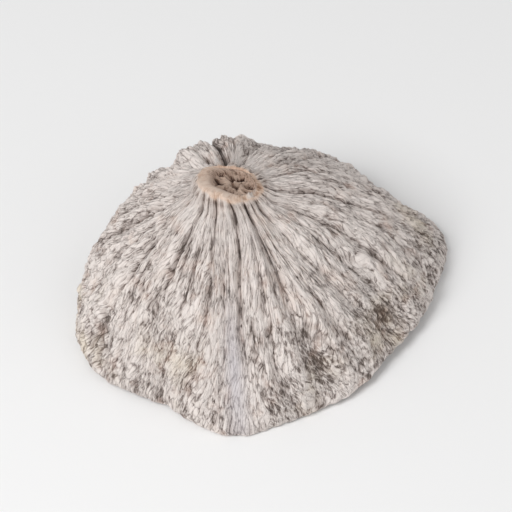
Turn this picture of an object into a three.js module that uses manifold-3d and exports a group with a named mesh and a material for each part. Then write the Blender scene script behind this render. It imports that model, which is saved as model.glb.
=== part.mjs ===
// A dried lotus pod lying on its rim: the ribbed, domed seed head with its cut stem upwards
// and its seed face, with the emptied seed chambers, turned down.
// Millimetres, +Z up, origin on the surface that the pod lies on, under the middle of its outline.
import * as THREE from "three";
import { mergeVertices } from "three/addons/utils/BufferGeometryUtils.js";
import Module from "manifold-3d";

// Driving dimensions
const RIM_RADIUS = 48;
const NECK_HEIGHT = 43.6;
const NECK_RADIUS = 8;
const STEM_HEIGHT = 3.6;
const STEM_ROOT = 8;
const STEM_OFFSET = new THREE.Vector2(-2.7, -1.7);
const STEM_SLANT = 3.8;
const STEM_SLANT_TURN = 208;
const NECK_SLANT = 2.4;
const NECK_SLANT_FADE = 0.35;
const CUT_RIPPLE = 0.25;
const COLLAR_RADIUS = 8.6;
const COLLAR_FOOT = 10.3;
const CORE_RADIUS = 5.2;
const CORE_SHIFT = 1.3;
const CORE_SHIFT_TURN = 20;
const CORE_DEPTH = 2.2;
const CORE_BUMP = 0.5;
const CORE_EDGE = 0.9;
const COLLAR_EDGE = 0.5;
const COLLAR_ROUND = 1.4;
const COLLAR_SQUASH = 0.05;
const COLLAR_RIPPLE = 0.03;
const FACE_RISE = 4;
const FACE_DOME = 1.4;

// Wall: how it rounds off below the stem and turns down at the rim, as powers of the reach outwards
const WALL_ROUND = 1.3;
const WALL_SHOULDER = 0.7;
const WALL_RINGS = 16;
const SIDES = 120;

// Rim: a rounded lip that lies on three low spots and rises between them
const RIM_ROUND = 1.6;
const RIM_LAND = 1.8;
const RIM_SLOPE = 2.2;
const LOW_SPOTS = 3;
const FIRST_LOW_SPOT = 262;
const RIM_LIFT = 2.2;
const RIM_LIFT_MORE = 0.9;
const RIM_LIFT_FADE = 18;
const WORN_FLAT = 0.25;

// Outline of the rim: waves round the circle, each with its swelling as a share of the radius and its turn
const OUTLINE = [
  { waves: 2, swell: 0.037, turn: 21 },
  { waves: 3, swell: 0.014, turn: 24 },
  { waves: 4, swell: 0.022, turn: 1 },
  { waves: 5, swell: 0.017, turn: -15 },
  { waves: 6, swell: 0.031, turn: 9 },
  { waves: 9, swell: 0.017, turn: 11 },
];

// Relief of the wall: deep folds at the stem that pass into twice as many ribs and a crossed net at the rim
const FOLDS = 15;
const FOLD_DEPTH = 2;
const RIBS = 2 * FOLDS;
const RIB_DEPTH = 1.3;
const NET_WAVES = 20;
const NET_TWIST = 14;
const NET_DEPTH = 0.45;
const SHRIVEL_DEPTH = 0.6;
const WANDER = 0.05;
const FINE_WANDER = 0.03;
const GROOVE_SHARE = 0.6;

// Dents by their turn and reach, with a spread in degrees and a length as a share of the reach.
// A depth below 0 swells out.
const DENTS = [
  { turn: 198, reach: 0.91, depth: 2.4, spread: 6, length: 0.07 },
  { turn: 202, reach: 0.66, depth: 1.6, spread: 5, length: 0.08 },
  { turn: 256, reach: 0.8, depth: 1.6, spread: 5, length: 0.26 },
  { turn: 287, reach: 0.62, depth: 1.6, spread: 4, length: 0.28 },
  { turn: 288, reach: 0.87, depth: 2.4, spread: 6, length: 0.1 },
  { turn: 321, reach: 0.93, depth: 3.2, spread: 7, length: 0.12 },
  { turn: 20, reach: 0.8, depth: 2, spread: 6, length: 0.14 },
  { turn: 62, reach: 0.7, depth: 2.2, spread: 7, length: 0.2 },
  { turn: 91, reach: 0.13, depth: 2.4, spread: 4, length: 0.07 },
  { turn: 108, reach: 0.14, depth: 2.8, spread: 3.5, length: 0.07 },
  { turn: 105, reach: 0.4, depth: -4.3, spread: 36, length: 0.3 },
  { turn: 160, reach: 0.82, depth: -3.9, spread: 16, length: 0.22 },
];

// Seed chambers: two rings of cups whose centres lean towards one point above the stem
const OUTER_SEEDS = 9;
const OUTER_RING = 31.2;
const INNER_SEEDS = 3;
const INNER_RING = 11.5;
const SEED_TURN = 18;
const SEED_RADIUS = 8.6;
const OUTER_STRETCH = 1.08;
const OUTER_DEPTH = 14;
const INNER_DEPTH = 20;
const SEED_FOCUS = 80;
const TURN_JITTER = 1.4;
const RING_JITTER = 0.5;
const SIZE_JITTER = 0.05;
const SEED_SIDES = 16;
const LIP_WIDTH = 1.4;
const LIP_HEIGHT = 1.4;
const LIP_ROOT = 3;

const wasm = await Module();
wasm.setup();
const { smoothstep, lerp, degToRad } = THREE.MathUtils;

// Closed geometry to a solid that can be joined and cut, and back
function solidOf(geometry) {
  const bare = geometry.clone();
  bare.deleteAttribute("normal");
  bare.deleteAttribute("uv");
  const merged = mergeVertices(bare, 1e-4);
  const corners = merged.index.array;
  const kept = [];
  for (let i = 0; i < corners.length; i += 3) {
    const triangle = [corners[i], corners[i + 1], corners[i + 2]];
    if (new Set(triangle).size === 3) kept.push(...triangle);
  }
  const vertProperties = merged.getAttribute("position").array;
  const triVerts = new Uint32Array(kept);
  return new wasm.Manifold(new wasm.Mesh({ numProp: 3, vertProperties, triVerts }));
}

function geometryOf(solid) {
  const { vertProperties, triVerts } = solid.getMesh();
  const geometry = new THREE.BufferGeometry();
  geometry.setAttribute("position", new THREE.BufferAttribute(vertProperties, 3));
  geometry.setIndex(new THREE.BufferAttribute(triVerts, 1));
  return geometry;
}

// A solid turned about +Z from [radius, height] points listed downwards, each vertex then moved by shape
function turned(points, sides, shape = () => {}) {
  const upwards = points.map(([radius, height]) => new THREE.Vector2(radius, height)).reverse();
  const geometry = new THREE.LatheGeometry(upwards, sides);
  geometry.rotateX(Math.PI / 2);
  const position = geometry.getAttribute("position");
  const vertex = new THREE.Vector3();
  for (let i = 0; i < position.count; i += 1) {
    vertex.fromBufferAttribute(position, i);
    const step = points.length - 1 - (i % points.length);
    const side = Math.floor(i / points.length) % sides;
    const theta = (side / sides) * 2 * Math.PI - Math.PI / 2;
    shape(vertex, theta, step);
    position.setXYZ(i, vertex.x, vertex.y, vertex.z);
  }
  return geometry;
}

// Radius and height of the plain wall at a reach of 0 at the neck to 1 at the rim
function wallPoint(reach) {
  const fall = Math.pow(Math.max(0, 1 - Math.pow(reach, WALL_ROUND)), WALL_SHOULDER);
  return [lerp(NECK_RADIUS, RIM_RADIUS, reach), lerp(RIM_ROUND, NECK_HEIGHT, fall)];
}

// Height of the plain seed face over the rim's underside
function faceHeight(radius) {
  return FACE_RISE + FACE_DOME * (1 - (radius / RIM_RADIUS) ** 2);
}

// Factor by which the rim is wider or narrower than its circle
function outline(theta) {
  const wave = ({ waves, swell, turn }) => swell * Math.cos(waves * (theta - degToRad(turn)));
  return OUTLINE.reduce((factor, entry) => factor + wave(entry), 1);
}

// Height of the rim's underside over the surface: nothing at the low spots
function rimLift(theta) {
  const between = (1 - Math.cos(LOW_SPOTS * (theta - degToRad(FIRST_LOW_SPOT)))) / 2;
  return between * (RIM_LIFT + RIM_LIFT_MORE * Math.cos(theta));
}

// Round-backed pleats with a narrow groove between them, from 0 in the groove to 1 on the back
function pleats(count, theta) {
  return Math.abs(Math.sin((count * theta) / 2));
}

function dentDepth(dent, theta, reach) {
  const turn = theta - degToRad(dent.turn);
  const across = Math.atan2(Math.sin(turn), Math.cos(turn)) / degToRad(dent.spread);
  const along = (reach - dent.reach) / dent.length;
  return dent.depth * Math.exp(-across * across - along * along);
}

// Where a fold that starts at theta has got to at a reach, as the folds wander from side to side
function wandered(theta, reach) {
  return theta + WANDER * Math.sin(3 * theta + 4 * reach) + FINE_WANDER * Math.sin(7 * theta - 5 * reach);
}

// How far the wall stands out of its plain form, on a fold that starts at theta and has wandered to turn
function relief(theta, turn, reach) {
  const uneven = 0.8 + 0.3 * Math.sin(4 * theta + 1);
  const atStem = smoothstep(reach, 0, 0.1) * (1 - smoothstep(reach, 0.3, 0.85));
  const outwards = smoothstep(reach, 0.1, 0.5) * (1 - 0.6 * smoothstep(reach, 0.75, 1));
  const atRim = smoothstep(reach, 0.4, 0.7);
  const folds = FOLD_DEPTH * uneven * atStem * (pleats(FOLDS, theta) - GROOVE_SHARE);
  const ribs = RIB_DEPTH * outwards * (pleats(RIBS, theta) - GROOVE_SHARE);
  const leftwards = Math.cos(NET_WAVES * turn + NET_TWIST * reach);
  const rightwards = Math.cos(NET_WAVES * turn - NET_TWIST * reach);
  const net = NET_DEPTH * atRim * leftwards * rightwards;
  const shrivel = SHRIVEL_DEPTH * atRim * Math.sin(5 * turn + 3 * reach);
  return DENTS.reduce((sum, dent) => sum - dentDepth(dent, turn, reach), folds + ribs + net + shrivel);
}

// How far the neck's slant lifts or lowers the wall
function neckSlant(turn, reach) {
  const fade = 1 - smoothstep(reach, 0, NECK_SLANT_FADE);
  return NECK_SLANT * fade * Math.cos(turn - degToRad(STEM_SLANT_TURN));
}

// The head: wall from the neck to the rim, the rim's rounded underside, and the hollowed seed face
function head() {
  const reaches = Array.from({ length: WALL_RINGS + 1 }, (_, i) => smoothstep(i / WALL_RINGS, 0, 1));
  const landOuter = RIM_RADIUS - RIM_ROUND;
  const landInner = landOuter - RIM_LAND;
  const faceEdge = landInner - RIM_SLOPE;
  const points = [
    [0, NECK_HEIGHT],
    ...reaches.map(wallPoint),
    [landOuter + 0.7 * RIM_ROUND, 0.3 * RIM_ROUND],
    [landOuter, 0],
    [landInner, 0],
    [faceEdge, FACE_RISE],
    [faceEdge / 2, faceHeight(faceEdge / 2)],
    [0, faceHeight(0)],
  ];
  const lastOnRim = points.length - 4;
  return turned(points, SIDES, (vertex, theta, step) => {
    const ring = step - 1;
    const reach = step === 0 ? 0 : reaches[ring] ?? 1;
    const turn = wandered(theta, reach);
    let [radius, height] = points[step];
    if (ring > 0 && ring < WALL_RINGS) {
      const [radiusIn, heightIn] = wallPoint(reach - 0.01);
      const [radiusOut, heightOut] = wallPoint(reach + 0.01);
      const out = relief(theta, turn, reach) / Math.hypot(radiusOut - radiusIn, heightOut - heightIn);
      radius += out * (heightIn - heightOut);
      height += out * (radiusOut - radiusIn);
    }
    if (step > 0) height += neckSlant(turn, reach);
    radius *= lerp(1, outline(turn), reach * reach);
    const low = step > lastOnRim ? 0 : Math.max(0, 1 - height / RIM_LIFT_FADE) ** 2;
    const raised = height + rimLift(turn) * low - WORN_FLAT;
    vertex.set(radius * Math.cos(turn), radius * Math.sin(turn), Math.max(0, raised));
  });
}

// The stem's cut stump: a low collar with a slanted edge round a sunk core that lies off its middle,
// flared at the foot and rooted in the head
function stem() {
  const top = NECK_HEIGHT + STEM_HEIGHT;
  const points = [
    [0, top - CORE_DEPTH + CORE_BUMP],
    [0.6 * CORE_RADIUS, top - CORE_DEPTH],
    [CORE_RADIUS, top - CORE_EDGE],
    [lerp(CORE_RADIUS, COLLAR_RADIUS, 0.5), top],
    [COLLAR_RADIUS - COLLAR_EDGE, top - 0.6 * COLLAR_EDGE],
    [COLLAR_RADIUS, top - COLLAR_ROUND],
    [COLLAR_FOOT, NECK_HEIGHT - COLLAR_EDGE],
    [0.8 * NECK_RADIUS, NECK_HEIGHT - STEM_ROOT],
    [0, NECK_HEIGHT - STEM_ROOT],
  ];
  const lastInCore = 2;
  const lastOnCollar = 5;
  const foot = 6;
  return turned(points, SIDES / 4, (vertex, theta, step) => {
    const rough = 1 + COLLAR_SQUASH * Math.cos(2 * theta - 0.5) + COLLAR_RIPPLE * Math.cos(5 * theta + 1);
    const slanted = Math.cos(theta - degToRad(STEM_SLANT_TURN));
    vertex.x *= rough;
    vertex.y *= rough;
    if (step <= lastOnCollar) {
      const ripple = CUT_RIPPLE * Math.cos(3 * theta);
      vertex.z += ((STEM_SLANT * slanted + ripple) * Math.hypot(vertex.x, vertex.y)) / COLLAR_RADIUS;
    }
    if (step === foot) vertex.z += NECK_SLANT * slanted;
    if (step <= lastInCore) {
      vertex.x += CORE_SHIFT * Math.cos(degToRad(CORE_SHIFT_TURN));
      vertex.y += CORE_SHIFT * Math.sin(degToRad(CORE_SHIFT_TURN));
    }
  });
}

// Where each seed sat: the mouth's centre, its half widths along and across the radius, and its depth
function seedLayout() {
  const ring = (count, radius, stretch, depth, firstTurn) =>
    Array.from({ length: count }, (_, i) => {
      const theta = degToRad(firstTurn + (360 * i) / count + TURN_JITTER * Math.sin(2.4 * i + 1));
      const out = radius * outline(theta) + RING_JITTER * Math.cos(1.7 * i);
      const size = SEED_RADIUS * (1 + SIZE_JITTER * Math.sin(3.1 * i + radius));
      return { theta, out, along: size, across: size * stretch * outline(theta), depth };
    });
  return [
    ...ring(OUTER_SEEDS, OUTER_RING, OUTER_STRETCH, OUTER_DEPTH, SEED_TURN),
    ...ring(INNER_SEEDS, INNER_RING, 1, INNER_DEPTH, SEED_TURN + 30),
  ];
}

// Places a form of unit radius at a seed's mouth, sheared towards the focus above the stem
function atSeed(geometry, seed) {
  const shear = -seed.out / SEED_FOCUS;
  const placed = new THREE.Matrix4().makeRotationZ(seed.theta);
  const sheared = new THREE.Matrix4().set(
    seed.along, 0, shear, seed.out,
    0, seed.across, 0, 0,
    0, 0, 1, faceHeight(seed.out) - WORN_FLAT,
    0, 0, 0, 1,
  );
  return geometry.applyMatrix4(placed.multiply(sheared));
}

// The chamber's hollow: a smooth cup with a rounded end, cut from below the lip
function seedCup(seed) {
  const points = [
    [0, seed.depth],
    [0.5, 0.95 * seed.depth],
    [0.82, 0.78 * seed.depth],
    [0.97, 0.45 * seed.depth],
    [1, 0],
    [1.04, -2 * LIP_HEIGHT],
    [0, -2 * LIP_HEIGHT],
  ];
  return atSeed(turned(points, SEED_SIDES), seed);
}

// The raised lip round the chamber, made as a plug that the cup then opens
function seedLip(seed) {
  const width = LIP_WIDTH / seed.along;
  const points = [
    [0, LIP_ROOT],
    [1 + 1.4 * width, LIP_ROOT],
    [1 + width, -0.5 * LIP_HEIGHT],
    [1 + 0.5 * width, -LIP_HEIGHT],
    [0, -LIP_HEIGHT],
  ];
  return atSeed(turned(points, SEED_SIDES), seed);
}

// The whole pod grew as one piece, so its forms are joined in one solid and its chambers cut from it
function podSolid() {
  const seeds = seedLayout();
  const joined = solidOf(head()).add(solidOf(stem()));
  const lipped = seeds.reduce((solid, seed) => solid.add(solidOf(seedLip(seed))), joined);
  return seeds.reduce((solid, seed) => solid.subtract(solidOf(seedCup(seed))), lipped);
}

// Leans the stem off centre, more the higher up, and sets the outline's middle over the origin
function leaned(geometry) {
  const position = geometry.getAttribute("position");
  const top = NECK_HEIGHT + STEM_HEIGHT;
  for (let i = 0; i < position.count; i += 1) {
    const lean = position.getZ(i) / top;
    position.setX(i, position.getX(i) + STEM_OFFSET.x * lean);
    position.setY(i, position.getY(i) + STEM_OFFSET.y * lean);
  }
  geometry.computeBoundingBox();
  const middle = geometry.boundingBox.getCenter(new THREE.Vector3());
  return geometry.translate(-middle.x, -middle.y, 0);
}

const husk = new THREE.MeshStandardMaterial({ color: 0xbab0aa, roughness: 0.92, metalness: 0 });
const pod = new THREE.Mesh(leaned(geometryOf(podSolid())), husk);
pod.name = "lotus_pod";

const part = new THREE.Group();
part.add(pod);

export default part;
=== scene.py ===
import math
from collections import Counter

import bpy
from mathutils import Matrix, Vector, kdtree, noise


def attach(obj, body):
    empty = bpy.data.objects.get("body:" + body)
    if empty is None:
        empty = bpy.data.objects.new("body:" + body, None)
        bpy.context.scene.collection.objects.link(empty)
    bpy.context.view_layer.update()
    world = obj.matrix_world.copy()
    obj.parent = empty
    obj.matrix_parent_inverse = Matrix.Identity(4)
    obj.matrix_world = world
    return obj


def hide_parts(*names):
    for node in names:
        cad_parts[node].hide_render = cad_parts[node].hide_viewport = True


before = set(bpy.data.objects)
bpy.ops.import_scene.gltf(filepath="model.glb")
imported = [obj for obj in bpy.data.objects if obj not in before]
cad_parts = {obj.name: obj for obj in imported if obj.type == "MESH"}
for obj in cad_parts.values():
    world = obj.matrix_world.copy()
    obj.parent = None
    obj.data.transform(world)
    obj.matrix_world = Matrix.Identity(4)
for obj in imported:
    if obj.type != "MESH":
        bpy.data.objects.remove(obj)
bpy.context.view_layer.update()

# Sizes in millimetres; the meshes are in metres
MM = 0.001

# The head: a wall that flares from the neck to the rim, and the seed face inside the rim
RIM_RADIUS = 48
NECK_HEIGHT = 43.6
NECK_RADIUS = 8
WALL_ROUND = 1.3
WALL_SHOULDER = 0.7
RIM_ROUND = 1.6
RIM_LAND = 1.8
RIM_SLOPE = 2.2
FACE_RISE = 4
FACE_DOME = 1.4
OUTLINE_MIDDLE = (0.554, -1.159)

# Rim outline: waves round the circle, swelling as a share of the radius, turn in degrees
OUTLINE_WAVES = (
    (2, 0.037, 21),
    (3, 0.014, 24),
    (4, 0.022, 1),
    (5, 0.017, -15),
    (6, 0.031, 9),
    (9, 0.017, 11),
)

# The rim lifts between three low spots, which are worn flat, and its edge is ragged
FIRST_LOW_SPOT = math.radians(262)
RIM_LIFT = 2.2
RIM_LIFT_MORE = 0.9
RIM_LIFT_FADE = 18
WORN_FLAT = 0.25
RAGGED_FROM = 0.9
RAGGED_DEPTH = 0.55

# The stem leans off the middle and is cut at a slant, which fades out down the neck
STEM_HEIGHT = 3.6
STEM_TOP = NECK_HEIGHT + STEM_HEIGHT
STEM_OFFSET = (-2.7, -1.7)
STEM_SLANT = 3.8
STEM_SLANT_TURN = math.radians(208)
NECK_SLANT = 2.4
NECK_SLANT_FADE = 0.35

# The stem's torn core, set to one side
CORE_RADIUS = 5.7
CORE_DEPTH = 2.6
CORE_RINGS = 8
CORE_RING_STEP = 0.66
CORE_SHIFT = 1.0
CORE_SHIFT_TURN = math.radians(20)

# Where the core is torn deepest and painted darker, as painted shade from the pit's wall: turn in degrees,
# radius, spread in degrees, width
CORE_DEEP_SHADED_EDGE = (150, 4.6, 55, 1.4)

# Open canals in the core: one in the middle, the others round it
MIDDLE_CANAL = 1.1
ROUND_CANALS = 7
CANAL_CIRCLE = 3.8

# The collar round the core: radius and drop below the stem's top
COLLAR_CREST = 7.8
COLLAR_EDGE_DROP = 0.25
COLLAR = (
    (5.38, 1.8),
    (5.48, 1.1),
    (5.7, 0.5),
    (6.15, 0.15),
    (6.7, 0),
    (7.3, 0.05),
    (COLLAR_CREST, COLLAR_EDGE_DROP),
)

# Sides of the collar: turn and spread in degrees
COLLAR_BROKEN = (315, 30)
COLLAR_WORN_LOW = (95, 40)
COLLAR_PAINTED_HIGHLIGHT = (185, 50)
COLLAR_BROWN = (70, 60)

# The flank that spreads from the collar's edge to the wall, and its way out: shares outwards and upwards
FLANK_FOOT = 10.3
FLANK_DROP = 3.75
FLANK_REACH = 0.07
FLANK_RINGS = 8
FLANK_NORMAL = (0.8, 0.6)

# Folds at the stem, ribs further out, veins over both
FOLDS = 15
FOLD_DEPTH = 2
RIBS = 2 * FOLDS
RIB_DEPTH = 1.3
VEINS = 52
GROOVE_WIDTH = 0.3

# Dents and swellings: turn in degrees, reach, depth, spread in degrees, length as a share of the reach
DENTS = (
    (198, 0.91, 2.4, 6, 0.07),
    (202, 0.66, 1.6, 5, 0.08),
    (256, 0.8, 1.6, 5, 0.26),
    (287, 0.62, 1.6, 4, 0.28),
    (288, 0.87, 2.4, 6, 0.1),
    (321, 0.93, 3.2, 7, 0.12),
    (20, 0.8, 2, 6, 0.14),
    (62, 0.7, 2.2, 7, 0.2),
    (91, 0.13, 2.4, 4, 0.07),
    (108, 0.14, 2.8, 3.5, 0.07),
)
SWELLINGS = (
    (105, 0.4, -4.3, 36, 0.3),
    (160, 0.82, -3.9, 16, 0.22),
)

# Short notches close behind the stem: turn in degrees, reach, spread in degrees
NOTCHES = ((90, 0.13, 6.5), (109, 0.13, 4.5))
NOTCH_LENGTH = 0.08
NOTCH_DEPTH = 1.2

# The smooth lilac-grey strip of husk: turn in degrees, reach, half width in degrees, half length
SMOOTH_STRIP = (256, 0.82, 3.4, 0.26)

# Steps round the head, and rings down its wall, round its rim's edge and over its seed face
SIDES = 600
WALL_RINGS = 96
RIM_RINGS = 4
FACE_RINGS = 10

# Rings of seed chambers: how many, distance out, widening across, depth, first turn in degrees
SEED_RINGS = ((9, 31.2, 1.08, 14, 18), (3, 11.5, 1.0, 20, 48))
SEED_RADIUS = 8.6
SEED_FOCUS = 80
SEED_SIDES = 56
LIP_WIDTH = 1.4
LIP_HEIGHT = 1.4
CUP_DEPTH = 10
CUP_ROUND = 5.5
CUP_RINGS = 8

# Merging distances in metres: at the seam of a spun form, and for slivers where solids were joined
SPUN_MERGE = 2e-6
JOINT_MERGE = 2e-5
JOINT_SLIVER = 1e-5

# Colour of each finish by how thick the whitewash lies, from bare to white
WHITEWASH = (
    (0.04, (0.11, 0.085, 0.07)),
    (0.24, (0.26, 0.215, 0.195)),
    (0.41, (0.50, 0.435, 0.405)),
    (0.68, (0.79, 0.72, 0.68)),
)
PINKISH_BROWN = (
    (0.04, (0.13, 0.08, 0.06)),
    (0.4, (0.50, 0.38, 0.33)),
    (0.7, (0.78, 0.68, 0.62)),
)
OCHRE = (
    (0.05, (0.15, 0.10, 0.07)),
    (0.4, (0.48, 0.39, 0.28)),
    (0.7, (0.76, 0.67, 0.54)),
)
LILAC_GREY = (
    (0.1, (0.38, 0.34, 0.35)),
    (0.6, (0.60, 0.56, 0.57)),
)
CUP_LINING = (
    (0.0, (0.20, 0.16, 0.135)),
    (0.6, (0.42, 0.36, 0.32)),
)
TAN_STEM = (
    (0.1, (0.28, 0.15, 0.09)),
    (0.36, (0.65, 0.42, 0.29)),
    (0.55, (0.81, 0.59, 0.455)),
    (0.75, (0.90, 0.72, 0.60)),
)
BROWN_PITH = (
    (0.2, (0.05, 0.022, 0.014)),
    (0.36, (0.19, 0.10, 0.068)),
    (0.5, (0.48, 0.32, 0.24)),
    (0.65, (0.74, 0.56, 0.45)),
)

# Lights and view, in metres, watts and radians
KEY_LIGHT = {"place": (-0.5, -0.35, 0.75), "size": 0.5, "watts": 5.5}
FILL_LIGHT = {"place": (0.6, -0.5, 0.6), "size": 0.8, "watts": 1.5}
LIT_POINT = (0, 0, 0.02)
ROOM_LIGHT = 0.5
FLOOR_SIZE = 4
PAPER = (0.86, 0.86, 0.86, 1)
VIEW_ELEVATION = math.radians(46)
VIEW_ROLL = math.radians(10.8)
VIEW_DISTANCE = 0.9
VIEW_WIDTH = 0.137
VIEW_POINT = (0.0, -0.002, 0.019)
SENSOR_WIDTH = 36

# A point of the head goes by three measures: theta is its turn round the head, reach goes from 0 at the
# collar to 1 at the rim, and run is its way along the profile as a share of the rim's radius


# 0 below low, 1 above high, smooth between
def ease(value, low, high):
    share = min(1.0, max(0.0, (value - low) / (high - low)))
    return share * share * (3 - 2 * share)


def outline(turn):
    return 1 + sum(swell * math.cos(waves * (turn - math.radians(at))) for waves, swell, at in OUTLINE_WAVES)


# How the cut stem strays from a circle, as a share of its radius
def stem_outline(theta):
    return 1 - 0.03 * math.cos(2 * theta - 0.5) + 0.03 * math.cos(5 * theta + 1)


def plain_wall(reach):
    fall = max(0.0, 1 - reach**WALL_ROUND) ** WALL_SHOULDER
    return NECK_RADIUS + (RIM_RADIUS - NECK_RADIUS) * reach, RIM_ROUND + (NECK_HEIGHT - RIM_ROUND) * fall


# The way out of the wall, as shares outwards and upwards
def wall_normal(reach):
    radius_in, height_in = plain_wall(max(0, reach - 0.004))
    radius_out, height_out = plain_wall(min(1, reach + 0.004))
    long = math.hypot(radius_out - radius_in, height_out - height_in)
    return (height_in - height_out) / long, (radius_out - radius_in) / long


def face_height(radius):
    return FACE_RISE + FACE_DOME * (1 - (radius / RIM_RADIUS) ** 2)


def rim_lift(turn):
    between = (1 - math.cos(3 * (turn - FIRST_LOW_SPOT))) / 2
    return between * (RIM_LIFT + RIM_LIFT_MORE * math.cos(turn))


# Height of a point once the rim is lifted between its low spots and worn flat on them
def settled(height, turn, zone):
    low = 0 if zone == "face" else max(0, 1 - height / RIM_LIFT_FADE) ** 2
    return max(0, height + rim_lift(turn) * low - WORN_FLAT)


# Where a fold has wandered to, off the straight run outwards
def wandered(theta, reach):
    return theta + 0.05 * math.sin(3 * theta + 4 * reach) + 0.03 * math.sin(7 * theta - 5 * reach)


def pleats(count, theta):
    return abs(math.sin(count * theta / 2))


# How open a groove between pleats is: 1 along its bottom, falling off quickly to both sides
def groove(count, theta):
    return math.exp(-((pleats(count, theta) / GROOVE_WIDTH) ** 2))


# A soft spot on the head: 1 in its middle, falling off round it
def patch(turn, reach, at, at_reach, spread, length):
    off = turn - math.radians(at)
    across = math.atan2(math.sin(off), math.cos(off)) / math.radians(spread)
    along = (reach - at_reach) / length
    return math.exp(-across * across - along * along)


def on_side(theta, at, spread):
    return patch(theta, 0, at, 0, spread, 1)


def dented(turn, reach, dents):
    return sum(depth * patch(turn, reach, at, far, spread, long) for at, far, depth, spread, long in dents)


def round_point(theta, around, along):
    return Vector((around * math.cos(theta), around * math.sin(theta), along))


# Smooth noise that closes round the head: finer round it as around grows
def rough_at(theta, around, along):
    return noise.noise(round_point(theta, around, along))


# Long strands that lie side by side with slits between them
def strands(theta, around, along, gap):
    near, _ = noise.voronoi(round_point(theta, around, along))
    return 1 - math.exp(-(((near[1] - near[0]) / gap) ** 2))


# Where a strand has swayed to, off the straight run outwards
def swayed(theta, reach):
    wide = rough_at(theta, 5, 4 * reach)
    return theta + ease(reach, 0, 0.3) * (0.05 * wide + 0.018 * rough_at(theta, 13, 10 * reach))


# Folds, ribs, crossed wrinkles, shrivelling and dents, in millimetres outwards
def large_relief(theta, turn, reach):
    uneven = 0.8 + 0.3 * math.sin(4 * theta + 1)
    at_stem = ease(reach, 0, 0.1) * (1 - ease(reach, 0.3, 0.85))
    outwards = ease(reach, 0.1, 0.5) * (1 - 0.6 * ease(reach, 0.75, 1))
    at_rim = ease(reach, 0.4, 0.7)
    folds = FOLD_DEPTH * uneven * at_stem * (pleats(FOLDS, theta) - 0.6)
    ribs = RIB_DEPTH * outwards * (pleats(RIBS, theta) - 0.6)
    crossed = 0.45 * at_rim * math.cos(20 * turn + 14 * reach) * math.cos(20 * turn - 14 * reach)
    shrivel = 0.6 * at_rim * math.sin(5 * turn + 3 * reach)
    return folds + ribs + crossed + shrivel - dented(turn, reach, DENTS + SWELLINGS)


# The husk's own net: strands, knots near the rim, fibres, veins and lumps.
# It gives millimetres outwards, and how far a point stands out for the finish.
def fine_relief(theta, bent, reach, run, calm):
    netted = ease(reach, 0.05, 0.4)
    at_rim = ease(reach, 0.45, 0.95)
    long_strands = strands(bent, 23, 9.5 * run + 0.5 * rough_at(theta, 9, 5 * run), 0.24)
    short_strands = strands(bent - 0.4 * run, 33, 17 * run + 7, 0.26)
    net = (0.15 + 0.85 * netted) * (1 - 0.4 * at_rim) * (long_strands - 0.7)
    knots = at_rim * (short_strands - 0.7)
    fibres = (1 - 0.4 * netted) * (rough_at(bent, 34, 8 * run) + 0.6 * rough_at(bent, 70, 17 * run))
    raised_here = ease(rough_at(theta, 4, 1.4 * run + 5), -0.5, 0.2)
    veined = ease(reach, 0.1, 0.3) * (1 - 0.4 * at_rim) * raised_here
    veins = veined * (pleats(VEINS, bent + 0.02 * rough_at(theta, 9, 4 * run)) - 0.65)
    lumps = rough_at(theta, 5, 4 * reach + 3)
    out = (0.7 * net + 0.6 * knots + 0.25 * fibres + 0.9 * veins) * calm + 0.8 * netted * lumps
    return out, (0.5 * net + 0.45 * knots + 0.2 * fibres + 0.45 * veins) * calm


# Painted shade in the grooves between folds and ribs, and in those of the flutes under the stem: how much
# darker each point is painted
def painted_groove_shade(theta, bent, reach, under_stem):
    at_stem = groove(FOLDS, theta) * (1 - ease(reach, 0.25, 0.75))
    outwards = groove(RIBS, theta) * ease(reach, 0.1, 0.4) * (1 - 0.5 * ease(reach, 0.6, 1))
    shaded_here = ease(rough_at(theta, 3.1, 0.8 * reach + 2), -0.45, 0.4)
    grooves = (0.2 + 0.8 * shaded_here) * (0.55 * at_stem + 0.45 * outwards)
    return grooves + 0.35 * under_stem * groove(RIBS, bent)


def select_only(piece):
    bpy.ops.object.select_all(action="DESELECT")
    piece.select_set(True)
    bpy.context.view_layer.objects.active = piece


# A wire through (radius, height) points, spun round +Z to a closed solid
def spun(name, points, sides):
    bpy.ops.object.select_all(action="DESELECT")
    bpy.ops.mesh.primitive_plane_add(size=MM)
    piece = bpy.context.active_object
    piece.name = name
    bpy.ops.object.mode_set(mode="EDIT")
    bpy.ops.mesh.select_all(action="SELECT")
    bpy.ops.mesh.merge(type="CENTER")
    bpy.ops.transform.translate(value=(points[0][0] * MM, 0, points[0][1] * MM))
    for (radius_a, height_a), (radius_b, height_b) in zip(points, points[1:]):
        step = ((radius_b - radius_a) * MM, 0, (height_b - height_a) * MM)
        bpy.ops.mesh.extrude_vertices_move(TRANSFORM_OT_translate={"value": step})
    bpy.ops.mesh.select_all(action="SELECT")
    bpy.ops.mesh.spin(steps=sides, angle=2 * math.pi, center=(0, 0, 0), axis=(0, 0, 1))
    bpy.ops.mesh.select_all(action="SELECT")
    bpy.ops.mesh.remove_doubles(threshold=SPUN_MERGE)
    bpy.ops.mesh.normals_make_consistent(inside=False)
    bpy.ops.object.mode_set(mode="OBJECT")
    return piece


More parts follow.
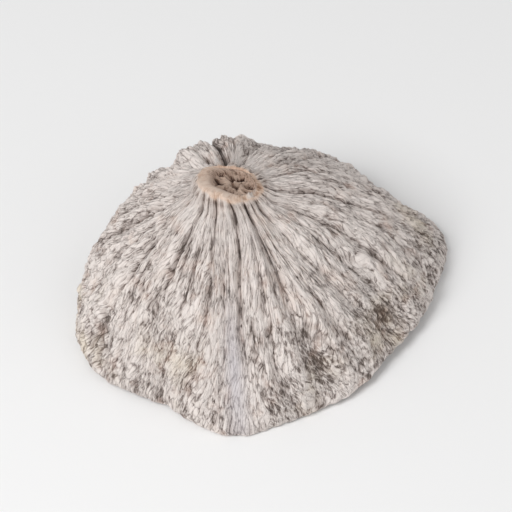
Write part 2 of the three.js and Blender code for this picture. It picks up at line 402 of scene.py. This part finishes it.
# The head's profile from the stem's core to the middle of the seed face, each point with its zone and reach
def head_profile():
    profile = [(0, STEM_TOP - CORE_DEPTH, "core", 0)]
    for i in range(1, CORE_RINGS + 1):
        profile.append((CORE_RING_STEP * i, STEM_TOP - CORE_DEPTH, "core", 0))
    for radius, drop in COLLAR:
        profile.append((radius, STEM_TOP - drop, "collar", 0))
    for i in range(1, FLANK_RINGS + 1):
        share = i / FLANK_RINGS
        radius = COLLAR_CREST + (FLANK_FOOT - COLLAR_CREST) * share
        height = STEM_TOP - COLLAR_EDGE_DROP - FLANK_DROP * share**1.15
        profile.append((radius, height, "flank", FLANK_REACH * share))
    for i in range(1, WALL_RINGS + 1):
        share = i / WALL_RINGS
        reach = FLANK_REACH + (1 - FLANK_REACH) * (0.55 * share + 0.45 * ease(share, 0, 1))
        profile.append((*plain_wall(reach), "wall", reach))
    for i in range(1, RIM_RINGS + 1):
        bend = math.radians(90 * i / RIM_RINGS)
        radius = RIM_RADIUS - RIM_ROUND * (1 - math.cos(bend))
        profile.append((radius, RIM_ROUND * (1 - math.sin(bend)), "rim", 1))
    inner = RIM_RADIUS - RIM_ROUND - RIM_LAND
    profile.append((inner, 0, "rim", 1))
    for i in range(1, RIM_RINGS + 1):
        share = i / RIM_RINGS
        profile.append((inner - RIM_SLOPE * share, FACE_RISE * ease(share, -0.3, 1.2), "rim", 1))
    edge = inner - RIM_SLOPE
    for i in range(1, FACE_RINGS + 1):
        radius = edge * (1 - i / FACE_RINGS)
        profile.append((radius, face_height(radius), "face", 1))
    return profile


# How far along the profile each of its points lies, as a share of the rim's radius
def runs_along(profile):
    runs = [0.0]
    for (radius_a, height_a, _, _), (radius_b, height_b, _, _) in zip(profile, profile[1:]):
        runs.append(runs[-1] + math.hypot(radius_b - radius_a, height_b - height_a) / RIM_RADIUS)
    return runs


# The head's own place in metres, with its lean towards the stem
def leaned(place):
    lean = place.z / STEM_TOP
    x = place.x + STEM_OFFSET[0] * lean - OUTLINE_MIDDLE[0]
    y = place.y + STEM_OFFSET[1] * lean - OUTLINE_MIDDLE[1]
    return Vector((x, y, place.z)) * MM


# Each canal's place and half width
def canal_layout():
    canals = [(0.0, 0.0, MIDDLE_CANAL)]
    for i in range(ROUND_CANALS):
        turn = 0.9 * i + 0.25 * math.sin(2.3 * i)
        size = 1.15 + 0.25 * math.sin(4 * i)
        canals.append((CANAL_CIRCLE * math.cos(turn), CANAL_CIRCLE * math.sin(turn), size))
    return canals


CANALS = canal_layout()


class Finish:
    """What the husk's material reads at each point of a mesh."""

    # relief sets how thick the whitewash lies, and also carries painted shade in grooves, dents, notches,
    # canals, under the collar and at the core's edge
    NAMES = ("relief", "stump", "core", "hollow", "smooth_strip")

    def __init__(self, count):
        self.values = {name: [0.0] * count for name in self.NAMES}
        self.grain = [0.0] * (3 * count)

    def set(self, index, grain, **values):
        self.grain[3 * index : 3 * index + 3] = grain
        for name, value in values.items():
            self.values[name][index] = value

    def store(self, mesh):
        for name, values in self.values.items():
            mesh.attributes.new(name, "FLOAT", "POINT").data.foreach_set("value", values)
        mesh.attributes.new("grain", "FLOAT_VECTOR", "POINT").data.foreach_set("vector", self.grain)


def shape_core(theta, radius, height):
    x = radius * math.cos(theta)
    y = radius * math.sin(theta)
    torn = noise.noise(Vector((x / 1.3, y / 1.3, 4))) + 0.7 * noise.noise(Vector((x / 0.6, y / 0.6, 9)))
    deep = min(1, sum(math.exp(-((math.hypot(x - cx, y - cy) / size) ** 4)) for cx, cy, size in CANALS))
    # The torn edge on the pit's left side is dug deeper and painted darker: painted shade from the pit's wall
    edge = patch(theta, radius, *CORE_DEEP_SHADED_EDGE)
    height = height + 0.8 * torn + 0.5 - 2.6 * deep - 0.7 * edge
    # Painted shade in the canals: their bottoms are painted near black
    return height, 0.84 + 1.3 * torn - 1.2 * deep - 0.5 * edge


# The top of the cut stem. It gives the point's radius, height, shift to one side, and finish.
def shape_stump(theta, radius, height, zone):
    rough = stem_outline(theta)
    aside = CORE_SHIFT * (1 - ease(radius, CORE_RADIUS - 0.4, COLLAR_CREST - 0.4))
    if zone == "core":
        height, relief = shape_core(theta, radius, height)
        finish = {"relief": relief, "stump": 1.0, "core": 1.0}
    else:
        bits = rough_at(theta, 3, radius / 2) + 0.6 * rough_at(theta, 9, radius)
        broken = on_side(theta, *COLLAR_BROKEN)
        rough += 0.04 * bits
        height += (0.3 + 0.9 * broken) * bits - 0.5 * broken - 0.9 * on_side(theta, *COLLAR_WORN_LOW)
        # A painted highlight: the collar's side towards the key light is painted paler
        finish = {
            "relief": 0.55 + (0.5 + 0.4 * broken) * bits + 0.2 * on_side(theta, *COLLAR_PAINTED_HIGHLIGHT),
            "stump": 1 - 0.7 * broken * ease(bits, -0.2, 0.3),
            "core": ease(CORE_RADIUS + 0.5 + 1.6 * on_side(theta, *COLLAR_BROWN) - radius, 0, 0.5),
        }
    radius *= rough
    slant = STEM_SLANT * math.cos(theta - STEM_SLANT_TURN)
    height += (slant + 0.25 * math.cos(3 * theta)) * radius / COLLAR_CREST
    return radius, height, aside, finish


# The flank and the wall. It gives the point's radius, height, swayed turn, and finish.
def shape_wall(theta, turn, radius, height, zone, reach, run):
    across, up = wall_normal(reach) if zone == "wall" else FLANK_NORMAL
    bent = swayed(theta, reach)
    smooth_strip = patch(turn, reach, *SMOOTH_STRIP)
    fine, relief = fine_relief(theta, bent, reach, run, 1 - 0.8 * smooth_strip)
    under_stem = ease(reach, 0.005, 0.04) * (1 - ease(reach, 0.06, 0.16))
    flutes = 0.5 * pleats(FOLDS, theta) + 0.5 * pleats(RIBS, bent) - 0.6
    notch = sum(patch(turn, reach, at, far, spread, NOTCH_LENGTH) for at, far, spread in NOTCHES)
    calm = ease(reach, 0, 0.05) * (1 - 0.75 * ease(reach, 0.97, 1))
    out = (large_relief(theta, turn, reach) + fine) * calm + 1.3 * under_stem * flutes
    out -= NOTCH_DEPTH * notch

    # Painted shade: the grooves between folds, ribs and flutes are painted darker
    groove_shade = painted_groove_shade(theta, bent, reach, under_stem)
    # A thin line of painted shade just below the collar of the cut stem
    shade_below_cut = 0.4 * ease(reach, 0.018, 0.032) * (1 - ease(reach, 0.036, 0.056))
    # Painted shade in the dents and notches: these hollows are painted darker
    relief += 0.62 - groove_shade * (1 - smooth_strip) - 0.16 * dented(turn, reach, DENTS) - 0.6 * notch
    relief += 0.5 * under_stem * flutes - shade_below_cut
    bits = rough_at(theta, 5, 30 * reach)
    stump = 0.9 * (1 - ease(reach + 0.012 * bits, 0.01, 0.024)) + 0.22 * (1 - ease(reach, 0, 0.09))

    cut = 1 - ease(reach, 0, FLANK_REACH)
    slanted = math.cos(theta - STEM_SLANT_TURN)
    height += out * up + STEM_SLANT * slanted * cut
    height += NECK_SLANT * slanted * (1 - cut) * (1 - ease(reach, 0, NECK_SLANT_FADE))
    radius = (radius + out * across) * (1 + (stem_outline(theta) - 1) * cut)
    return radius, height, bent, {"relief": relief, "stump": stump, "smooth_strip": smooth_strip}


# The rim's edge and the seed face. It gives the point's height and finish.
def shape_rim(theta, x, y, height, zone):
    bits = rough_at(theta, 14, height) + 0.6 * rough_at(theta, 34, 2 * height)
    if zone == "face":
        height += 0.35 * noise.noise(Vector((x / 4, y / 4, 1)))
    return height, {"relief": 0.6 + 0.35 * bits}


def ragged_rim(theta, reach, zone):
    if reach <= RAGGED_FROM:
        return 0.0
    ragged = rough_at(theta, 9, 1) + 0.7 * rough_at(theta, 26, 2)
    return RAGGED_DEPTH * ragged * ease(reach, RAGGED_FROM, 1) * (0.2 if zone == "face" else 1)


def shape_head(piece, profile):
    finder = kdtree.KDTree(len(profile))
    for i, (radius, height, _, _) in enumerate(profile):
        finder.insert((radius, 0, height), i)
    finder.balance()
    runs = runs_along(profile)
    finish = Finish(len(piece.data.vertices))
    for vertex in piece.data.vertices:
        x, y, z = vertex.co / MM
        theta = math.atan2(y, x)
        _, index, _ = finder.find((math.hypot(x, y), 0, z))
        radius, height, zone, reach = profile[index]
        run = runs[index]
        turn = theta + (wandered(theta, reach) - theta) * ease(reach, 0, FLANK_REACH)
        bent = theta
        aside = 0.0
        if zone in ("core", "collar"):
            radius, height, aside, values = shape_stump(theta, radius, height, zone)
        elif zone in ("flank", "wall"):
            radius, height, bent, values = shape_wall(theta, turn, radius, height, zone, reach, run)
        else:
            height, values = shape_rim(theta, x, y, height, zone)
        radius *= 1 + (outline(turn) - 1) * reach * reach
        radius += ragged_rim(theta, reach, zone)
        x = radius * math.cos(turn) + aside * math.cos(CORE_SHIFT_TURN)
        y = radius * math.sin(turn) + aside * math.sin(CORE_SHIFT_TURN)
        vertex.co = leaned(Vector((x, y, settled(height, turn, zone))))
        finish.set(vertex.index, round_point(bent, 1, run), **values)
    finish.store(piece.data)


# Where each seed sat: turn, distance out, half widths along and across, depth
def seed_layout():
    seeds = []
    for count, radius, stretch, depth, first in SEED_RINGS:
        for i in range(count):
            turn = math.radians(first + 360 * i / count + 1.4 * math.sin(2.4 * i + 1))
            out = radius * outline(turn) + 0.5 * math.cos(1.7 * i)
            size = SEED_RADIUS * (1 + 0.05 * math.sin(3.1 * i + radius))
            seeds.append((turn, out, size, size * stretch * outline(turn), depth))
    return seeds


# A copy of a form of unit radius, set at a seed's mouth and leaning towards the stem
def at_seed(form, name, seed, number):
    turn, out, along, across, depth = seed
    piece = form.copy()
    piece.data = form.data.copy()
    piece.name = f"{name}_{number}"
    bpy.context.collection.objects.link(piece)
    spin = Matrix.Rotation(turn, 3, "Z")
    finish = Finish(len(piece.data.vertices))
    for vertex in piece.data.vertices:
        x, y, z = vertex.co / MM
        theta = math.atan2(y, x)
        uneven = 1 + 0.03 * rough_at(theta, 2, 5 * number + z / 9)
        deep = z * (depth / CUP_DEPTH if z > 0 and name == "cup" else 1)
        height = deep + 0.3 * rough_at(theta, 3, 9 * number) * (z < 0.5)
        place = spin @ Vector((out + x * along * uneven - out / SEED_FOCUS * height, y * across * uneven, 0))
        place.z = face_height(out) - WORN_FLAT + height
        vertex.co = leaned(place)
        relief = 0.75 + 0.3 * rough_at(theta, 6, number + z / 3)
        hollow = ease(height, -1.4, 4) if name == "cup" else 0.0
        finish.set(vertex.index, round_point(theta, 0.4, number + height / 40), relief=relief, hollow=hollow)
    finish.store(piece.data)
    piece.data.update()
    return piece


def combine(piece, other, operation):
    select_only(piece)
    cut = piece.modifiers.new("seed_face", "BOOLEAN")
    cut.operation = operation
    cut.solver = "MANIFOLD"
    cut.object = other
    bpy.ops.object.modifier_apply(modifier=cut.name)
    bpy.data.objects.remove(other, do_unlink=True)


# Seams where solids were joined: slivers are merged away, faces with many sides are split to triangles,
# and a triangle that is then left hanging by one edge is deleted
def clean_seams(piece):
    select_only(piece)
    bpy.ops.object.mode_set(mode="EDIT")
    bpy.ops.mesh.select_all(action="SELECT")
    bpy.ops.mesh.remove_doubles(threshold=JOINT_MERGE)
    bpy.ops.mesh.dissolve_degenerate(threshold=JOINT_SLIVER)
    bpy.ops.mesh.select_mode(type="FACE")
    bpy.ops.mesh.select_all(action="DESELECT")
    bpy.ops.mesh.select_face_by_sides(number=4, type="GREATER")
    bpy.ops.mesh.quads_convert_to_tris()
    bpy.ops.mesh.select_all(action="DESELECT")
    bpy.ops.object.mode_set(mode="OBJECT")
    faces_at = Counter(edge for face in piece.data.polygons for edge in face.edge_keys)
    for face in piece.data.polygons:
        face.select = any(faces_at[edge] == 1 for edge in face.edge_keys)
    bpy.ops.object.mode_set(mode="EDIT")
    bpy.ops.mesh.delete(type="FACE")
    bpy.ops.object.mode_set(mode="OBJECT")


# One form copied to every seed's place, the copies joined to one solid
def at_all_seeds(form, name):
    copies = [at_seed(form, name, seed, number) for number, seed in enumerate(seed_layout())]
    bpy.data.objects.remove(form, do_unlink=True)
    for other in copies[1:]:
        combine(copies[0], other, "UNION")
    return copies[0]


def make_lips():
    width = LIP_WIDTH / SEED_RADIUS
    points = [(0, 3), (1 + 1.4 * width, 3), (1 + 1.25 * width, 0.6), (1 + 1.1 * width, -0.4)]
    points += [(1 + 0.95 * width, -0.9), (1 + 0.7 * width, -1.25)]
    points += [(1 + 0.4 * width, -LIP_HEIGHT), (0, -LIP_HEIGHT)]
    return at_all_seeds(spun("lip", points, SEED_SIDES), "lip")


def make_cups():
    points = [(0, CUP_DEPTH)]
    for i in range(1, CUP_RINGS + 1):
        bend = math.radians(90 * i / CUP_RINGS)
        points.append((0.97 * math.sin(bend) ** 0.8, CUP_DEPTH - CUP_ROUND + CUP_ROUND * math.cos(bend)))
    points += [(0.985, 2.6), (0.995, 1), (1, 0), (1.02, -0.7), (1.06, -1.2), (1.13, -1.7), (1.2, -3), (0, -3)]
    return at_all_seeds(spun("cup", points, SEED_SIDES), "cup")


def make_pod():
    lips = make_lips()
    cups = make_cups()
    profile = head_profile()
    pod = spun("lotus_pod_husk", [(radius, height) for radius, height, _, _ in profile], SIDES)
    shape_head(pod, profile)
    combine(pod, lips, "UNION")
    combine(pod, cups, "DIFFERENCE")
    clean_seams(pod)
    return pod


def add_node(tree, kind, name, **sockets):
    node = tree.nodes.new(kind)
    node.name = name
    for socket, value in sockets.items():
        node.inputs[socket].default_value = value
    return node


def finish_value(tree, name):
    node = add_node(tree, "ShaderNodeAttribute", name)
    node.attribute_name = name
    return node.outputs["Vector" if name == "grain" else "Fac"]


# value * by + plus
def scaled(tree, name, value, by, plus):
    node = add_node(tree, "ShaderNodeMath", name)
    node.operation = "MULTIPLY_ADD"
    for socket, source in zip(node.inputs, (value, by, plus)):
        if isinstance(source, (int, float)):
            socket.default_value = source
        else:
            tree.links.new(source, socket)
    return node.outputs["Value"]


def times(tree, name, first, second):
    return scaled(tree, name, first, second, 0.0)


# 0 below low, 1 above high, smooth between
def within(tree, name, value, low, high):
    node = add_node(tree, "ShaderNodeMapRange", name)
    node.interpolation_type = "SMOOTHSTEP"
    node.inputs["From Min"].default_value = low
    node.inputs["From Max"].default_value = high
    tree.links.new(value, node.inputs["Value"])
    return node.outputs["Result"]


def stretched(tree, name, place, scale):
    node = add_node(tree, "ShaderNodeMapping", name + "_stretch", Scale=scale)
    tree.links.new(place, node.inputs["Vector"])
    return node.outputs["Vector"]


def noise_on(tree, name, place, scale, detail, distortion=0.0):
    node = add_node(tree, "ShaderNodeTexNoise", name, Scale=1.0, Detail=detail, Roughness=0.6)
    node.inputs["Distortion"].default_value = distortion
    tree.links.new(stretched(tree, name, place, scale), node.inputs["Vector"])
    return node.outputs["Fac"]


def z_of(tree, place):
    node = tree.nodes.new("ShaderNodeSeparateXYZ")
    tree.links.new(place, node.inputs["Vector"])
    return node.outputs["Z"]


# Long flakes: how far in from its edge a point lies, and a value of each flake's own
def flakes_on(tree, name, place, scale, fray, slope):
    sloped = add_node(tree, "ShaderNodeVectorRotate", name + "_sloped")
    sloped.rotation_type = "Z_AXIS"
    tree.links.new(place, sloped.inputs["Vector"])
    tree.links.new(times(tree, name + "_slope", z_of(tree, place), slope), sloped.inputs["Angle"])
    long = stretched(tree, name, sloped.outputs["Vector"], scale)
    rough = add_node(tree, "ShaderNodeTexNoise", name + "_fray", Scale=1.7, Detail=2.0)
    tree.links.new(long, rough.inputs["Vector"])
    frayed = add_node(tree, "ShaderNodeVectorMath", name + "_frayed")
    frayed.operation = "MULTIPLY_ADD"
    frayed.inputs[1].default_value = (fray, fray, fray)
    tree.links.new(rough.outputs["Color"], frayed.inputs[0])
    tree.links.new(long, frayed.inputs[2])
    edge = add_node(tree, "ShaderNodeTexVoronoi", name + "_edge", Scale=1.0)
    edge.feature = "DISTANCE_TO_EDGE"
    tree.links.new(frayed.outputs["Vector"], edge.inputs["Vector"])
    own = add_node(tree, "ShaderNodeTexVoronoi", name + "_own", Scale=1.0)
    tree.links.new(frayed.outputs["Vector"], own.inputs["Vector"])
    split = tree.nodes.new("ShaderNodeSeparateColor")
    tree.links.new(own.outputs["Color"], split.inputs["Color"])
    return edge.outputs["Distance"], split.outputs["Red"]


def ramp(tree, name, value, stops):
    node = add_node(tree, "ShaderNodeValToRGB", name)
    elements = node.color_ramp.elements
    while len(elements) < len(stops):
        elements.new(0.5)
    for element, (at, colour) in zip(elements, stops):
        element.position = at
        element.color = (*colour, 1)
    tree.links.new(value, node.inputs["Fac"])
    return node.outputs["Color"]


def mixed(tree, name, share, below, above):
    node = add_node(tree, "ShaderNodeMix", name)
    node.data_type = "RGBA"
    tree.links.new(share, node.inputs["Factor"])
    tree.links.new(below, node.inputs[6])
    tree.links.new(above, node.inputs[7])
    return node.outputs[2]


# How thick the whitewash lies, with the painted shade that relief carries, and how far the grain stands out
def husk_grain(tree, grain, place, along):
    edge, own = flakes_on(tree, "flakes", grain, (44, 44, 9), 0.75, 0.2)
    flakes = within(tree, "slits", edge, 0.0, 0.09)
    net_edge, _ = flakes_on(tree, "net", grain, (34, 34, 12), 0.9, -0.4)
    between = within(tree, "thread_width", net_edge, 0.03, 0.2)
    net_spots = within(tree, "net_spots", noise_on(tree, "net_patches", place, (70, 70, 70), 2), 0.45, 0.62)
    netted = times(tree, "netted", net_spots, within(tree, "net_near_rim", along, 0.65, 1.1))
    threads = times(tree, "net_threads", scaled(tree, "threads", between, -1.0, 1.0), netted)
    flecks = within(tree, "flecks_apart", noise_on(tree, "flecks", grain, (54, 54, 11), 2, 0.6), 0.43, 0.57)
    patches = within(tree, "patches_apart", noise_on(tree, "patches", place, (120, 120, 120), 3), 0.34, 0.66)
    chips = within(tree, "chips_apart", noise_on(tree, "chips", place, (520, 520, 520), 3), 0.46, 0.54)
    powder = noise_on(tree, "powder", place, (1300, 1300, 1300), 2)

    lime = scaled(tree, "lime_and_painted_shade", finish_value(tree, "relief"), 0.56, -0.275)
    layers = (
        ("lime_on_flakes", flakes, 0.28),
        ("lime_on_threads", threads, 0.26),
        ("lime_out_of_net", netted, -0.12),
        ("lime_of_each_flake", own, 0.13),
        ("lime_in_flecks", flecks, 0.18),
        ("lime_in_chips", chips, 0.08),
        ("lime_in_patches", patches, 0.24),
        ("lime_in_powder", powder, 0.15),
        ("lime_out_of_cups", finish_value(tree, "hollow"), -0.12),
    )
    for name, layer, share in layers:
        lime = scaled(tree, name, layer, share, lime)

    height = scaled(tree, "fleck_height", flecks, 0.5, powder)
    height = scaled(tree, "flake_height", flakes, 1.0, height)
    height = scaled(tree, "thread_height", threads, 1.0, height)
    return lime, height


# Whitewash with warmer spots, ochre stains near the rim, and each bare place in its own colour
def husk_colour(tree, lime, place, along):
    warmth = within(tree, "warm_spots", noise_on(tree, "warmth", place, (160, 160, 160), 2), 0.5, 0.8)
    stains = within(tree, "stain_spots", noise_on(tree, "stains", place, (48, 48, 48), 3), 0.52, 0.78)
    layers = (
        ("pinkish_brown", warmth, PINKISH_BROWN),
        ("ochre", times(tree, "stained_rim", stains, within(tree, "near_rim", along, 0.85, 1.4)), OCHRE),
        ("lilac_grey", finish_value(tree, "smooth_strip"), LILAC_GREY),
        ("cup_lining", times(tree, "inside_cups", finish_value(tree, "hollow"), 0.8), CUP_LINING),
        ("tan_stem", finish_value(tree, "stump"), TAN_STEM),
        ("brown_pith", finish_value(tree, "core"), BROWN_PITH),
    )
    colour = ramp(tree, "whitewash", lime, WHITEWASH)
    for name, share, stops in layers:
        colour = mixed(tree, name + "_over", share, colour, ramp(tree, name, lime, stops))
    return colour


# Dry husk under a worn whitewash: pale on the ridges, brown-grey with painted shade in the grooves, tan at
# the cut stem
def make_husk():
    husk = bpy.data.materials.new("whitewashed_husk")
    husk.use_nodes = True
    tree = husk.node_tree
    shader = tree.nodes["Principled BSDF"]
    grain = finish_value(tree, "grain")
    place = tree.nodes.new("ShaderNodeTexCoord").outputs["Object"]
    along = z_of(tree, grain)
    lime, height = husk_grain(tree, grain, place, along)
    tree.links.new(husk_colour(tree, lime, place, along), shader.inputs["Base Color"])
    tree.links.new(scaled(tree, "chalky", lime, 0.12, 0.82), shader.inputs["Roughness"])
    bump = add_node(tree, "ShaderNodeBump", "fine_grain", Strength=0.65, Distance=0.0004)
    tree.links.new(height, bump.inputs["Height"])
    tree.links.new(bump.outputs["Normal"], shader.inputs["Normal"])
    return husk


def make_floor():
    bpy.ops.object.select_all(action="DESELECT")
    bpy.ops.mesh.primitive_plane_add(size=FLOOR_SIZE)
    floor = bpy.context.active_object
    floor.name = "pale_floor"
    paper = bpy.data.materials.new("pale_paper")
    paper.use_nodes = True
    shader = paper.node_tree.nodes["Principled BSDF"]
    shader.inputs["Base Color"].default_value = PAPER
    shader.inputs["Roughness"].default_value = 0.9
    floor.data.materials.append(paper)
    return floor


def soft_light(name, place, size, watts):
    bpy.ops.object.light_add(type="AREA", location=place)
    light = bpy.context.active_object
    light.name = name
    light.data.size = size
    light.data.energy = watts
    light.rotation_euler = (Vector(LIT_POINT) - Vector(place)).to_track_quat("-Z", "Y").to_euler()


def light_room():
    world = bpy.data.worlds.new("pale_room")
    world.use_nodes = True
    background = world.node_tree.nodes["Background"]
    background.inputs["Color"].default_value = (1, 1, 1, 1)
    background.inputs["Strength"].default_value = ROOM_LIGHT
    bpy.context.scene.world = world
    bpy.context.scene.view_settings.view_transform = "Standard"


def set_view():
    away = Vector((0, -math.cos(VIEW_ELEVATION), math.sin(VIEW_ELEVATION)))
    bpy.ops.object.camera_add(location=Vector(VIEW_POINT) + away * VIEW_DISTANCE)
    camera = bpy.context.active_object
    camera.name = "view_from_the_front"
    upright = away.to_track_quat("Z", "Y").to_matrix()
    camera.rotation_euler = (upright @ Matrix.Rotation(-VIEW_ROLL, 3, "Z")).to_euler()
    camera.data.sensor_width = SENSOR_WIDTH
    camera.data.lens = SENSOR_WIDTH * VIEW_DISTANCE / VIEW_WIDTH
    bpy.context.scene.camera = camera


pod = make_pod()
pod.data.materials.clear()
pod.data.materials.append(make_husk())
select_only(pod)
bpy.ops.object.shade_smooth_by_angle(angle=math.radians(50))
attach(pod, "root")
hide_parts("lotus_pod")

floor = make_floor()

soft_light("key", **KEY_LIGHT)
soft_light("fill", **FILL_LIGHT)
light_room()
set_view()
